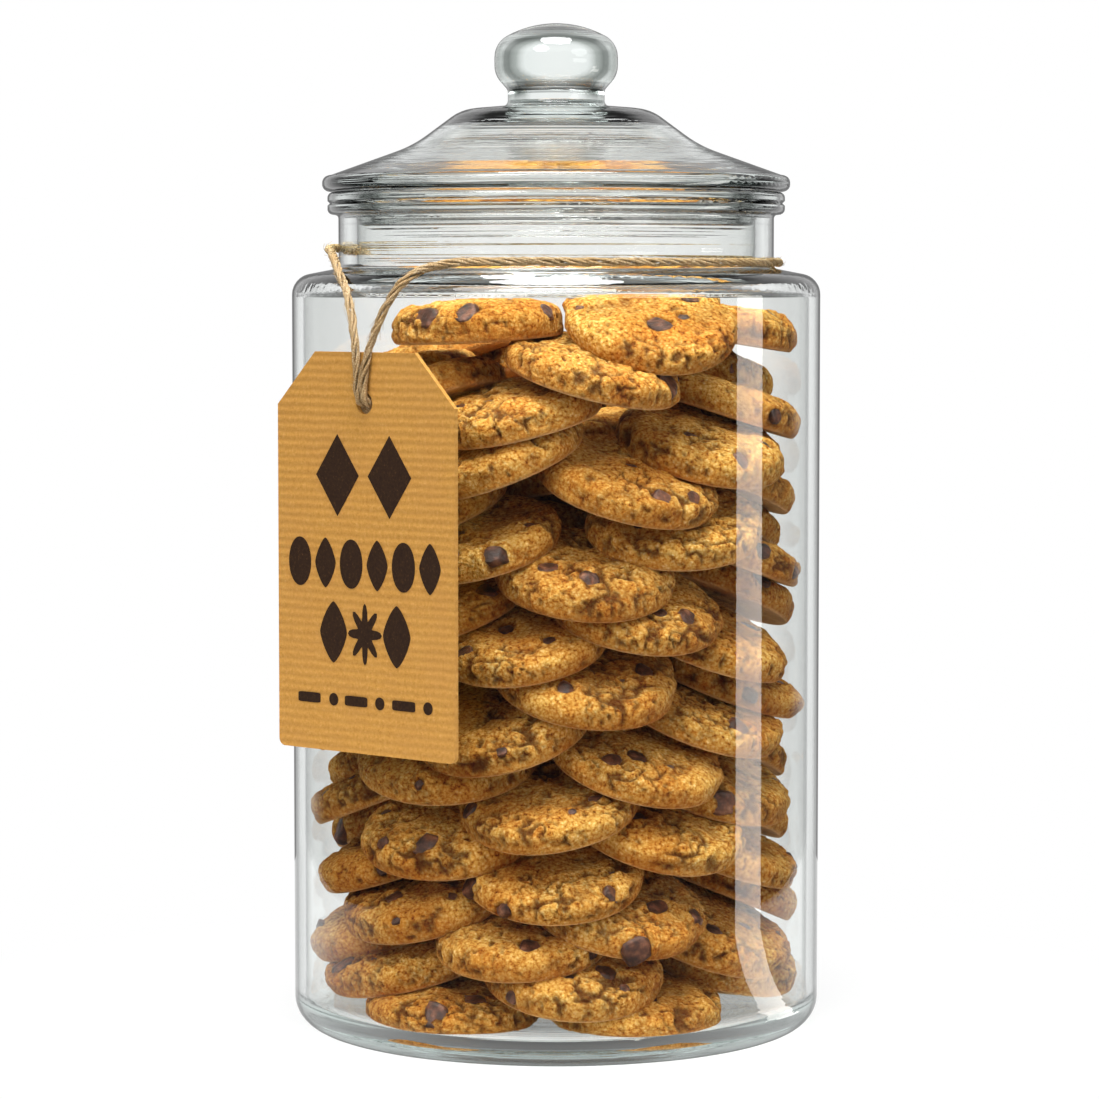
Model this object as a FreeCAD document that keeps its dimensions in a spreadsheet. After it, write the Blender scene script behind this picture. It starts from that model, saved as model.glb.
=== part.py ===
import FreeCAD, Part
import Sketcher
import math
import os
import random
import re
from FreeCAD import Placement, Rotation, Vector

# A round glass jar of cookies: the jar, the lid that rests in its mouth, courses of cookies laid
# like shingles, and a card tag that hangs from twine round the neck.
# Millimetres. The origin is the middle of the jar's flat underside, +Z is up and the front is -Y.
# An azimuth is counted in degrees from the front, towards +X.

SIZES = (
    ("body_radius", 87.5, "outside of the round body"),
    ("body_wall", 3.6, "glass of the body"),
    ("base_thickness", 6.5, "glass of the floor"),
    ("foot_round", 10, "outer bottom corner"),
    ("floor_round", 6, "inner bottom corner"),
    ("shoulder_height", 252, "where the shoulder meets the neck"),
    ("shoulder_fall", 3, "drop of the shoulder from the neck to the body"),
    ("shoulder_round", 7, "outer corner of the shoulder"),
    ("neck_radius", 72.1, "outside of the neck"),
    ("neck_wall", 6, "glass of the neck"),
    ("neck_root", 1.4, "hollow corner at the foot of the neck"),
    ("neck_height", 17.7, "shoulder to the underside of the bead"),
    ("bead_reach", 3.6, "how far the mouth's bead stands out"),
    ("bead_height", 7.3, "height of the mouth's bead"),
    ("bead_round", 1.8, "edges of the bead"),
    ("groove_depth", 0.8, "line round the middle of the bead"),
    ("lid_gap", 0.7, "between the lid's collar and the mouth"),
    ("lid_seat", 0.3, "between the mouth and the flange"),
    ("flange_reach", 1.7, "how far the lid's flange passes the bead"),
    ("flange_height", 5.2, "edge of the lid's flange"),
    ("flange_round", 2.3, "rounding of the flange"),
    ("collar_depth", 12, "how far the collar goes into the mouth"),
    ("collar_wall", 4.4, "glass of the collar"),
    ("lid_wall", 4.9, "glass of the lid's slope"),
    ("slope_foot", 2.4, "flange's edge to the foot of the slope"),
    ("break_inset", 13.5, "from the collar's inside in to where the slope steepens"),
    ("break_rise", 15.1, "height of that place over the mouth"),
    ("break_round", 40, "how softly the slope steepens"),
    ("crest_inset", 16, "from there in to where it rolls over to the top"),
    ("crest_rise", 26.9, "height of that place over the mouth"),
    ("crest_round", 14, "how softly it rolls over"),
    ("stem_radius", 16, "waist under the knob"),
    ("stem_rise", 28.3, "foot of the stem over the mouth"),
    ("stem_height", 5.2, "foot of the stem to the knob"),
    ("stem_round", 1.8, "hollow at the foot of the stem"),
    ("knob_radius", 20.4, "widest part of the knob"),
    ("knob_under", 5, "height of the knob's flaring under side"),
    ("knob_height", 21.9, "the knob alone, to its top"),
    ("knob_crown", 34, "radius of the knob's top"),
    ("knob_round", 8, "rounding of the knob's sides"),
    ("cookie_radius", 28.6, "a middling cookie"),
    ("cookie_thickness", 9.8, "a middling cookie at its middle"),
    ("cookie_edge", 2.6, "rounding of the under side's rim"),
    ("cookie_waist", 4, "height of a cookie's widest line"),
    ("cookie_gap", 0.25, "between a cookie and what it rests on"),
    ("ring_gap", 5, "between neighbours in a course"),
    ("wall_gap", 1.6, "between the cookies and the glass"),
    ("fill_height", 247, "top of the cookies"),
    ("tag_width", 78, "card across"),
    ("tag_height", 127, "card from end to end"),
    ("tag_thickness", 1.5, "card"),
    ("tag_chamfer", 17, "cut top corners, along each edge"),
    ("tag_round", 2.5, "bottom corners"),
    ("tag_bottom", 98.5, "height of the tag's lower edge"),
    ("tag_azimuth", -40, "where the tag hangs"),
    ("tag_turn", -2, "how far it is turned from facing straight out"),
    ("hole_radius", 3.5, "hole for the twine"),
    ("hole_drop", 16, "tag's top edge to the middle of the hole"),
    ("twine_diameter", 2.4, "jute twine"),
    ("knot_radius", 4.3, "knot behind the tag"),
    ("knot_thickness", 4.4, "knot from front to back"),
    ("knot_gap", 0.25, "in front of and behind the knot"),
)

# Azimuth of one cookie in each course, from the floor up, so that each bridges two below it.
COURSE_TURNS = (31, 9, -8, 23, -1, 32, -4, 31, -18, 7, -10, 26, 6, 40, 20, -16, 11, -22, 8)

# The lean outwards that a course's cookies start from, the most they tip to, and how much the
# places vary: in azimuth, in distance, and for the one in the middle.
RING_LEAN = 10
LEAN_LIMIT = 23
RING_TURNS = (-4, 4)
RING_SHIFTS = (-1, 1.5)
MIDDLE_SHIFTS = (0, 3)

# No two cookies are alike: their radius and thickness as shares of the middling one's, and the
# lobes round the outline, each a number of swells and the deepest share of the radius.
RADIUS_SHARES = (0.965, 1.025)
THICKNESS_SHARES = (0.9, 1.08)
LOBES = ((2, 0.022), (3, 0.018), (5, 0.008))
SEED = 7

# The last courses leave a hollow at the front and middle, where loose cookies keep odd leans:
# the course that each is laid before, its azimuth, distance from the axis, lean, way of the lean.
HOLLOW_COURSES = 3
HOLLOW_AZIMUTH = 4
HOLLOW_SPREAD = 52
LOOSE_COOKIES = (
    (17, -14, 53, 16, -50), (17, 12, 54, 17, 55), (19, -36, 42, 4, -60), (19, 94, 53, 9, 94),
    (19, 35, 52, 29, 14))

# The twine from the knot behind the tag, out of the hole, up over the shoulder, round the neck,
# back down and in again: azimuth, distance from the axis, height.
TWINE_ROUTE = (
    (-40.8, 92.12, 209.5), (-40.84, 95.4, 209.5), (-40.8, 95.6, 215.5), (-41.2, 95.6, 224.5),
    (-43.2, 93.5, 234), (-47, 90.2, 244), (-55, 85.4, 252), (-69, 78, 257.2), (-88, 76, 258.8),
    (-118, 76.9, 258.2), (-150, 76.9, 257), (-183, 76.9, 255.8), (-216, 76.9, 254.8),
    (-249, 76.9, 254.2), (-282, 76.9, 253.8), (-315, 76.9, 253.7), (-348, 76.9, 253.7),
    (-377, 76.7, 254), (-387.5, 81.6, 253.2), (-392.6, 88.3, 248.8), (-395.7, 91.6, 240.2),
    (-397.6, 93.8, 231), (-398.8, 95.6, 222.5), (-399.2, 95.6, 215.5), (-399.3, 95.5, 209.5),
    (-399.2, 92.21, 209.5))

doc = FreeCAD.newDocument("CookieJar")
sheet = doc.addObject("Spreadsheet::Sheet", "Sizes")
for row, (alias, value, meaning) in enumerate(SIZES, start=1):
    sheet.set(f"A{row}", meaning)
    sheet.set(f"B{row}", str(value))
    sheet.setAlias(f"B{row}", alias)
doc.recompute()


def bound(formula):
    return re.sub(r"\b([a-z]+_[a-z]+)\b", r"Sizes.\1", formula)


def worth(formula):
    return float(sheet.evalExpression(formula))


def polar(azimuth, distance, height=0):
    turn = math.radians(azimuth)
    return Vector(distance * math.sin(turn), -distance * math.cos(turn), height)


# ---- PartDesign helpers ----

def new_body(label):
    body = doc.addObject("PartDesign::Body", label)
    body.Label = label
    return body


def new_sketch(body, name, role):
    sketch = body.newObject("Sketcher::SketchObject", name)
    plane = next(item for item in body.Origin.OriginFeatures if item.Role == role)
    sketch.AttachmentSupport = [(plane, "")]
    sketch.MapMode = "FlatFace"
    return sketch


def bind(sketch, constraint, formula):
    sketch.setExpression(f"Constraints[{sketch.addConstraint(constraint)}]", bound(formula))


def pin(sketch, edge, point, across, up):
    # Holds a point at its two distances from the sketch's origin.
    for kind, axis_line, formula in (("DistanceX", -2, across), ("DistanceY", -1, up)):
        size = worth(formula)
        if size == 0:
            sketch.addConstraint(Sketcher.Constraint("PointOnObject", edge, point, axis_line))
        else:
            bind(sketch, Sketcher.Constraint(kind, -1, 1, edge, point, size), formula)


def draw_outline(sketch, corners, crown=None):
    # A closed outline of straight edges, each corner given as (across, up). With a crown, the
    # edge into the last corner is an arc of that radius, whose middle is on the upright axis.
    spots = [Vector(worth(across), worth(up), 0) for across, up in corners]
    count = len(corners)
    arc = count - 2 if crown else None
    for index, spot in enumerate(spots):
        following = spots[(index + 1) % count]
        if index == arc:
            radius = worth(crown)
            middle = Vector(0, following.y - radius, 0)
            start = math.atan2(spot.y - middle.y, spot.x)
            circle = Part.Circle(middle, Vector(0, 0, 1), radius)
            sketch.addGeometry(Part.ArcOfCircle(circle, start, math.pi / 2), False)
        else:
            sketch.addGeometry(Part.LineSegment(spot, following), False)
    for index in range(count):
        sketch.addConstraint(Sketcher.Constraint("Coincident", index, 2, (index + 1) % count, 1))
    for index, (across, up) in enumerate(corners):
        if index - 1 == arc:
            sketch.addConstraint(Sketcher.Constraint("PointOnObject", index, 1, -2))
            sketch.addConstraint(Sketcher.Constraint("PointOnObject", arc, 3, -2))
            bind(sketch, Sketcher.Constraint("DistanceY", -1, 1, index, 1, worth(up)), up)
            bind(sketch, Sketcher.Constraint("Radius", arc, worth(crown)), crown)
        elif index == arc:
            bind(sketch, Sketcher.Constraint("DistanceX", -1, 1, index, 1, worth(across)), across)
        else:
            pin(sketch, index, 1, across, up)


def revolve(body, sketch, name):
    turned = body.newObject("PartDesign::Revolution", name)
    turned.Profile = sketch
    turned.ReferenceAxis = (sketch, ["V_Axis"])
    turned.Angle = 360
    doc.recompute()
    return turned


def round_rings(body, name, radius, rings):
    # Rounds the circular edges that lie at the given distances from the axis and heights.
    base = body.Tip
    wanted = [(worth(across), worth(up)) for across, up in rings]
    names = []
    for index, edge in enumerate(base.Shape.Edges, start=1):
        start = edge.Vertexes[0].Point
        reach = math.hypot(start.x, start.y)
        if edge.BoundBox.ZLength > 0.01 or abs(edge.Length - 2 * math.pi * reach) > 0.01:
            continue
        if any(abs(reach - across) + abs(start.z - up) < 0.01 for across, up in wanted):
            names.append(f"Edge{index}")
    if len(names) < len(rings):
        raise ValueError(f"{name}: {len(names)} edges found for {len(rings)} rings")
    rounding = body.newObject("PartDesign::Fillet", name)
    rounding.Base = (base, names)
    rounding.setExpression("Radius", bound(radius))
    doc.recompute()


# ---- Jar ----

NECK_INSIDE = "neck_radius - neck_wall"
BODY_INSIDE = "body_radius - body_wall"
SHOULDER_EDGE = "shoulder_height - shoulder_fall"
BEAD_RADIUS = "neck_radius + bead_reach"
BEAD_BOTTOM = "shoulder_height + neck_height"
MOUTH_HEIGHT = "shoulder_height + neck_height + bead_height"
BEAD_MIDDLE = "shoulder_height + neck_height + bead_height / 2"


def make_jar():
    body = new_body("jar_glass")
    sketch = new_sketch(body, "JarSection", "XZ_Plane")
    draw_outline(sketch, (
        ("0", "0"),
        ("body_radius", "0"),
        ("body_radius", SHOULDER_EDGE),
        ("neck_radius", "shoulder_height"),
        ("neck_radius", BEAD_BOTTOM),
        (BEAD_RADIUS, BEAD_BOTTOM),
        (BEAD_RADIUS, f"{BEAD_MIDDLE} - groove_depth"),
        (f"{BEAD_RADIUS} - groove_depth", BEAD_MIDDLE),
        (BEAD_RADIUS, f"{BEAD_MIDDLE} + groove_depth"),
        (BEAD_RADIUS, MOUTH_HEIGHT),
        (NECK_INSIDE, MOUTH_HEIGHT),
        (NECK_INSIDE, "shoulder_height - body_wall"),
        (BODY_INSIDE, f"{SHOULDER_EDGE} - body_wall"),
        (BODY_INSIDE, "base_thickness"),
        ("0", "base_thickness")))
    revolve(body, sketch, "JarTurned")
    round_rings(body, "Foot", "foot_round", [("body_radius", "0")])
    round_rings(body, "FloorCorner", "floor_round", [(BODY_INSIDE, "base_thickness")])
    round_rings(body, "Shoulder", "shoulder_round", [("body_radius", SHOULDER_EDGE)])
    round_rings(body, "ShoulderInside", "shoulder_round - body_wall",
                [(BODY_INSIDE, f"{SHOULDER_EDGE} - body_wall")])
    round_rings(body, "NeckRoot", "neck_root",
                [("neck_radius", "shoulder_height"), ("neck_radius", BEAD_BOTTOM),
                 (NECK_INSIDE, "shoulder_height - body_wall"), (NECK_INSIDE, MOUTH_HEIGHT)])
    round_rings(body, "Bead", "bead_round",
                [(BEAD_RADIUS, BEAD_BOTTOM), (BEAD_RADIUS, MOUTH_HEIGHT)])
    return body


# ---- Lid, from the flange's under side up ----

FLANGE_RADIUS = "neck_radius + bead_reach + flange_reach"
COLLAR_RADIUS = "neck_radius - neck_wall - lid_gap"
COLLAR_INSIDE = "neck_radius - neck_wall - lid_gap - collar_wall"
SLOPE_FOOT_RADIUS = "neck_radius + bead_reach + flange_reach - slope_foot"
BREAK_RADIUS = f"{COLLAR_INSIDE} - break_inset"
CREST_RADIUS = f"{COLLAR_INSIDE} - break_inset - crest_inset"
KNOB_FOOT = "stem_rise + stem_height"
KNOB_SIDE_TOP = (f"{KNOB_FOOT} + knob_height - knob_crown"
                 " + sqrt(knob_crown * knob_crown - knob_radius * knob_radius)")


def make_lid():
    body = new_body("lid_glass")
    sketch = new_sketch(body, "LidSection", "XZ_Plane")
    draw_outline(sketch, (
        ("0", "crest_rise - lid_wall"),
        (CREST_RADIUS, "crest_rise - lid_wall"),
        (BREAK_RADIUS, "break_rise - lid_wall"),
        (COLLAR_INSIDE, "flange_height"),
        (COLLAR_INSIDE, "-collar_depth"),
        (COLLAR_RADIUS, "-collar_depth"),
        (COLLAR_RADIUS, "0"),
        (FLANGE_RADIUS, "0"),
        (FLANGE_RADIUS, "flange_height"),
        (SLOPE_FOOT_RADIUS, "flange_height"),
        (BREAK_RADIUS, "break_rise"),
        (CREST_RADIUS, "crest_rise"),
        ("stem_radius", "stem_rise"),
        ("0", "stem_rise")))
    revolve(body, sketch, "LidTurned")
    round_rings(body, "SlopeBreak", "break_round",
                [(BREAK_RADIUS, "break_rise"), (BREAK_RADIUS, "break_rise - lid_wall")])
    round_rings(body, "Crest", "crest_round",
                [(CREST_RADIUS, "crest_rise"), (CREST_RADIUS, "crest_rise - lid_wall")])
    round_rings(body, "Flange", "flange_round",
                [(FLANGE_RADIUS, "0"), (FLANGE_RADIUS, "flange_height")])
    round_rings(body, "Collar", "collar_wall * 0.4",
                [(COLLAR_RADIUS, "-collar_depth"), (COLLAR_INSIDE, "-collar_depth")])

    knob = new_sketch(body, "KnobSection", "XZ_Plane")
    draw_outline(knob, (
        ("0", "crest_rise"),
        ("stem_radius", "crest_rise"),
        ("stem_radius", KNOB_FOOT),
        ("knob_radius", f"{KNOB_FOOT} + knob_under"),
        ("knob_radius", KNOB_SIDE_TOP),
        ("0", f"{KNOB_FOOT} + knob_height")), crown="knob_crown")
    revolve(body, knob, "KnobTurned")
    round_rings(body, "Stem", "stem_round",
                [("stem_radius", "stem_rise"), ("stem_radius", KNOB_FOOT)])
    round_rings(body, "Knob", "knob_round",
                [("knob_radius", f"{KNOB_FOOT} + knob_under"), ("knob_radius", KNOB_SIDE_TOP)])
    body.setExpression("Placement.Base.z", bound(f"{MOUTH_HEIGHT} + lid_seat"))
    return body


# ---- Cookies ----

# Where the loft has its outlines: by the turn of the rounded rim below the waist, in degrees,
# and by the share of the outline above it, where the top is a dome that is steep at the rim.
UNDER_TURNS = (0, 30, 60)
UPPER_SHARES = (1, 0.975, 0.9, 0.78, 0.6, 0.38)
OUTLINE_POINTS = 10
DOME_INNER = 3
DOME_RIM = 0.42

# The outline is looked up at these many angles, on a net of cells this wide, and a cookie tips
# by these slopes until it settles.
ANGLES = 72
CELL = 1.6
FIRST_SLOPE = 0.1
LAST_SLOPE = 0.02
LEAST_DROP = 0.02


class Cookie:
    # One cookie: its lobed outline, its thickness, and its under and upper side over the
    # distance from its middle, given as a share of the outline there.
    def __init__(self, chance):
        self.radius = worth("cookie_radius") * chance.uniform(*RADIUS_SHARES)
        self.thickness = worth("cookie_thickness") * chance.uniform(*THICKNESS_SHARES)
        self.edge = worth("cookie_edge") / self.radius
        self.waist = worth("cookie_waist")
        self.lobes = [(times, chance.uniform(0.2, 1) * depth, chance.uniform(0, 2 * math.pi))
                      for times, depth in LOBES]
        self.table = [self.outline(2 * math.pi * index / ANGLES) for index in range(ANGLES)]
        self.reach = max(self.table)

    def outline(self, angle):
        swell = sum(depth * math.cos(times * angle + start) for times, depth, start in self.lobes)
        return self.radius * (1 + swell)

    def under(self, share):
        inner = 1 - self.edge
        if share <= inner:
            return 0
        return self.waist * (1 - math.sqrt(max(0, 1 - ((share - inner) / self.edge) ** 2)))

    def upper(self, share):
        rest = self.thickness - self.waist
        return self.waist + rest * max(0, 1 - share ** DOME_INNER) ** DOME_RIM

    def ring(self, share, height):
        points = []
        for index in range(OUTLINE_POINTS):
            angle = 2 * math.pi * index / OUTLINE_POINTS
            distance = self.outline(angle) * share
            points.append(Vector(distance * math.cos(angle), distance * math.sin(angle), height))
        curve = Part.BSplineCurve()
        curve.interpolate(Points=points, PeriodicFlag=True)
        return Part.Wire([curve.toShape()])

    def solid(self):
        rings = []
        for angle in UNDER_TURNS:
            share = 1 - self.edge * (1 - math.sin(math.radians(angle)))
            rings.append(self.ring(share, self.waist * (1 - math.cos(math.radians(angle)))))
        rings += [self.ring(share, self.upper(share)) for share in UPPER_SHARES]
        return Part.makeLoft(rings, True)


class Heap:
    # The height of the cookies laid so far, over a square net of cells across the jar's floor.
    def __init__(self, inside):
        self.count = int(inside / CELL) + 1
        width = 2 * self.count + 1
        self.heights = [[0.0] * width for _ in range(width)]

    def cells(self, cookie, spot, slopes):
        # Each cell under the cookie, with the heights of its under and upper side over its
        # middle. Both are read half a cell further in, so that a rim between cells counts.
        east, north = slopes
        stretch = math.sqrt(1 + east * east + north * north)
        slack = CELL / 2 / cookie.radius
        columns = self.span(spot[0], cookie.reach)
        rows = self.span(spot[1], cookie.reach)
        for column in columns:
            across = (column - self.count) * CELL - spot[0]
            for row in rows:
                along = (row - self.count) * CELL - spot[1]
                angle = math.atan2(along, across) / (2 * math.pi)
                limit = cookie.table[int(angle * ANGLES) % ANGLES]
                level = east * across + north * along
                flat = across * across + along * along
                rim = level + cookie.waist * stretch
                share = math.sqrt(max(0, flat + rim * rim - cookie.waist ** 2)) / limit - slack
                if share > 1:
                    continue
                sides = []
                for side in (cookie.under, cookie.upper):
                    lift = side(max(0, share))
                    height = level + lift * stretch
                    nearer = math.sqrt(max(0, flat + height * height - lift * lift)) / limit - slack
                    sides.append(level + side(min(1, max(0, nearer))) * stretch)
                yield column, row, sides[0], sides[1]

    def span(self, middle, reach):
        first = math.floor((middle - reach) / CELL) + self.count
        last = math.ceil((middle + reach) / CELL) + self.count
        return range(max(first, 0), min(last, 2 * self.count) + 1)

    def rest(self, cookie, spot, slopes):
        return max(self.heights[column][row] - under
                   for column, row, under, _ in self.cells(cookie, spot, slopes))

    def settle(self, cookie, spot, slopes):
        # Lowers the cookie's middle as far as it goes by tipping it a little at a time.
        best = self.rest(cookie, spot, slopes)
        limit = math.tan(math.radians(LEAN_LIMIT))
        step = FIRST_SLOPE
        while step > LAST_SLOPE:
            moved = False
            for east, north in ((step, 0), (-step, 0), (0, step), (0, -step)):
                trial = (slopes[0] + east, slopes[1] + north)
                if math.hypot(*trial) > limit:
                    continue
                height = self.rest(cookie, spot, trial)
                if height < best - LEAST_DROP:
                    best, slopes, moved = height, trial, True
            if not moved:
                step /= 2
        return slopes, best

    def lay(self, cookie, spot, slopes, height):
        for column, row, _, upper in self.cells(cookie, spot, slopes):
            self.heights[column][row] = max(self.heights[column][row], height + upper)


def slopes_of(lean, azimuth):
    # The two slopes of a cookie whose face leans towards an azimuth.
    rise = -math.tan(math.radians(lean))
    way = polar(azimuth, 1)
    return rise * way.x, rise * way.y


def placed(cookie, spot, slopes, height):
    turn = Rotation(Vector(0, 0, 1), Vector(-slopes[0], -slopes[1], 1))
    solid = cookie.solid()
    solid.Placement = Placement(Vector(spot[0], spot[1], height), turn)
    return solid


class Filling:
    # All the cookies: each is settled on the ones below, and those of a course that would stand
    # too high are left out. A loose one keeps its own lean where the glass above leaves room.
    def __init__(self):
        self.chance = random.Random(SEED)
        self.heap = Heap(worth(BODY_INSIDE))
        self.gap = worth("cookie_gap")
        self.room = worth(f"{BODY_INSIDE} - wall_gap")
        self.ceiling = worth("fill_height - base_thickness")
        self.shoulder = worth("shoulder_height - body_wall - base_thickness")
        self.collar = worth(f"{MOUTH_HEIGHT} + lid_seat - collar_depth - base_thickness")

    def add(self, azimuth, distance, lean, lean_azimuth, loose=False):
        cookie = Cookie(self.chance)
        distance = min(distance, self.room - cookie.reach)
        spot = polar(azimuth, distance)
        spot = (spot.x, spot.y)
        slopes = slopes_of(lean, lean_azimuth)
        if loose:
            height = self.heap.rest(cookie, spot, slopes) + self.gap
            solid = placed(cookie, spot, slopes, height)
            if self.clears_glass(solid):
                self.heap.lay(cookie, spot, slopes, height)
                return [solid]
        slopes, height = self.heap.settle(cookie, spot, slopes)
        height += self.gap
        solid = placed(cookie, spot, slopes, height)
        if solid.BoundBox.ZMax > self.ceiling:
            return []
        self.heap.lay(cookie, spot, slopes, height)
        return [solid]

    def clears_glass(self, solid):
        # Whether it stays under the slope of the shoulder, or inside the neck under the collar.
        neck, wall = worth(NECK_INSIDE), worth(BODY_INSIDE)
        for point in solid.tessellate(CELL)[0]:
            away = math.hypot(point.x, point.y)
            fall = worth("shoulder_fall") * (away - neck) / (wall - neck)
            roof = self.collar if away < neck else self.shoulder - fall
            if point.z > roof - self.gap:
                return False
        return True

    def course(self, turn, hollow):
        chance = self.chance
        ring = self.room - worth("cookie_radius")
        count = int(2 * math.pi * ring / (2 * worth("cookie_radius") + worth("ring_gap")))
        solids = []
        if not hollow:
            solids += self.add(chance.uniform(0, 360), chance.uniform(*MIDDLE_SHIFTS), 0, 0)
        for index in range(count):
            azimuth = turn + index * 360 / count + chance.uniform(*RING_TURNS)
            away = abs((azimuth - HOLLOW_AZIMUTH + 180) % 360 - 180)
            if not hollow or away > HOLLOW_SPREAD:
                distance = ring + chance.uniform(*RING_SHIFTS)
                solids += self.add(azimuth, distance, RING_LEAN, azimuth)
        return solids


def make_cookies():
    filling = Filling()
    courses = []
    last = len(COURSE_TURNS)
    for number in range(1, last + 2):
        solids = []
        for course, *place in LOOSE_COOKIES:
            if course == number:
                solids += filling.add(*place, loose=True)
        if number <= last:
            solids += filling.course(COURSE_TURNS[number - 1], number > last - HOLLOW_COURSES)
        courses.append(solids)
    lift = Placement(Vector(0, 0, worth("base_thickness")), Rotation())
    for index, solids in enumerate(course for course in courses if course):
        label = f"cookies_course_{index + 1:02d}"
        node = doc.addObject("Part::Feature", label)
        node.Label = label
        node.Shape = Part.makeCompound(solids)
        node.Placement = lift
        yield node


# ---- Tag, which hangs plumb, held off the glass by the knot behind it ----

def tag_placement():
    back = worth("body_radius + knot_thickness + 2 * knot_gap")
    turn = Rotation(Vector(0, 0, 1), worth("tag_azimuth + tag_turn"))
    return Placement(polar(worth("tag_azimuth"), back, worth("tag_bottom")), turn)


def make_tag():
    body = new_body("tag_card")
    sketch = new_sketch(body, "TagOutline", "XZ_Plane")
    draw_outline(sketch, (
        ("-tag_width / 2", "0"),
        ("tag_width / 2", "0"),
        ("tag_width / 2", "tag_height - tag_chamfer"),
        ("tag_width / 2 - tag_chamfer", "tag_height"),
        ("tag_chamfer - tag_width / 2", "tag_height"),
        ("-tag_width / 2", "tag_height - tag_chamfer")))
    hole_up = "tag_height - hole_drop"
    circle = Part.Circle(Vector(0, worth(hole_up), 0), Vector(0, 0, 1), worth("hole_radius"))
    hole = sketch.addGeometry(circle, False)
    sketch.addConstraint(Sketcher.Constraint("PointOnObject", hole, 3, -2))
    bind(sketch, Sketcher.Constraint("DistanceY", -1, 1, hole, 3, worth(hole_up)), hole_up)
    bind(sketch, Sketcher.Constraint("Radius", hole, worth("hole_radius")), "hole_radius")
    card = body.newObject("PartDesign::Pad", "TagCard")
    card.Profile = sketch
    card.setExpression("Length", bound("tag_thickness"))
    doc.recompute()
    names = []
    for index, edge in enumerate(card.Shape.Edges, start=1):
        box = edge.BoundBox
        if box.XLength < 0.01 and box.ZLength < 0.01 and box.ZMax < 0.01:
            names.append(f"Edge{index}")
    corners = body.newObject("PartDesign::Fillet", "TagCorners")
    corners.Base = (card, names)
    corners.setExpression("Radius", bound("tag_round"))
    doc.recompute()
    body.Placement = tag_placement()
    return body


# ---- Twine and its knot ----

ARC_SHARE = 0.45


def twine_path(route):
    # Straight runs joined by tangent arcs, each of which takes this share of its shorter run.
    edges, radii = [], []
    start = route[0]
    for before, corner, after in zip(route, route[1:], route[2:]):
        back, ahead = (before - corner).normalize(), (after - corner).normalize()
        half_turn = (math.pi - back.getAngle(ahead)) / 2
        shorter = min(before.distanceToPoint(corner), after.distanceToPoint(corner))
        setback = ARC_SHARE * shorter
        radii.append(setback / math.tan(half_turn))
        middle = (back + ahead).normalize()
        inside = radii[-1] * (1 / math.cos(half_turn) - 1)
        enter, leave = corner + back * setback, corner + ahead * setback
        edges.append(Part.LineSegment(start, enter).toShape())
        edges.append(Part.Arc(enter, corner + middle * inside, leave).toShape())
        start = leave
    edges.append(Part.LineSegment(start, route[-1]).toShape())
    return Part.Wire(edges), radii


def make_twine():
    route = [polar(*point) for point in TWINE_ROUTE]
    path, radii = twine_path(route)
    radius = worth("twine_diameter") / 2
    section = Part.Circle(route[0], route[1] - route[0], radius).toShape()
    node = doc.addObject("Part::Feature", "twine")
    node.Label = "twine"
    node.Shape = path.makePipeShell([Part.Wire([section])], True, False)
    node.Placement = Placement()
    expected = math.pi * radius * radius * path.Length
    print(f"twine: {path.Length:.1f} mm, radii {min(radii):.1f} to {max(radii):.1f} mm,"
          f" volume {node.Shape.Volume / expected:.4f} of its section times its length")
    return node


def make_knot():
    # A flat-fronted lump that fills the space between the tag's hole and the glass.
    body = new_body("twine_knot")
    sketch = new_sketch(body, "KnotSection", "XZ_Plane")
    draw_outline(sketch, (
        ("0", "0"),
        ("knot_radius", "0"),
        ("knot_radius", "knot_thickness"),
        ("0", "knot_thickness")))
    revolve(body, sketch, "KnotTurned")
    round_rings(body, "KnotSides", "knot_thickness * 0.3",
                [("knot_radius", "0"), ("knot_radius", "knot_thickness")])
    tag = tag_placement()
    behind = Vector(0, worth("knot_gap"), worth("tag_height - hole_drop"))
    front_first = Rotation(Vector(1, 0, 0), -90)
    body.Placement = Placement(tag.multVec(behind), tag.Rotation.multiply(front_first))
    return body


# ---- The parts together ----

nodes = [make_jar(), make_lid(), *make_cookies(), make_tag(), make_twine(), make_knot()]
doc.recompute()
for item in doc.Objects:
    if "Invalid" in item.State or "Error" in item.State:
        raise ValueError(f"{item.Name} did not build")
for node in nodes:
    if node.Shape.isNull() or not node.Shape.isValid():
        raise ValueError(f"{node.Label} is not a sound solid")
os.makedirs("parts", exist_ok=True)
for node in nodes:
    node.Shape.exportStep(f"parts/{node.Label}.step")
    print(node.Label, len(node.Shape.Solids), round(node.Shape.Volume / 1000, 2), "cm3")
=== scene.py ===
import bpy
import itertools
import math
import numpy as np
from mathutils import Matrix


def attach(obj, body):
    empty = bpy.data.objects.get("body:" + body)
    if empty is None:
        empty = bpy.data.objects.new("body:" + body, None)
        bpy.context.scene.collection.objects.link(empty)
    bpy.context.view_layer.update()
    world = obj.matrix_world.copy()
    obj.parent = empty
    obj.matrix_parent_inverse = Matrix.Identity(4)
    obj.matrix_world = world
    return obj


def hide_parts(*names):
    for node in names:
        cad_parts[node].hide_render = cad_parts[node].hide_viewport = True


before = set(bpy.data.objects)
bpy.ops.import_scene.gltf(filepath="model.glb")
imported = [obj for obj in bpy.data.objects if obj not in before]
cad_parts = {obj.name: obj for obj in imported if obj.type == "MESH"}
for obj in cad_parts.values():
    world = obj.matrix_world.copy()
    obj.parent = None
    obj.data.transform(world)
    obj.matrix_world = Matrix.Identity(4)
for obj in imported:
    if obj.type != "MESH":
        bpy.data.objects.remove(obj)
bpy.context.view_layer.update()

# A glass jar of chocolate chip cookies with its lid, and a card tag on twine. Metres, +Z up, front -Y.

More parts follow.
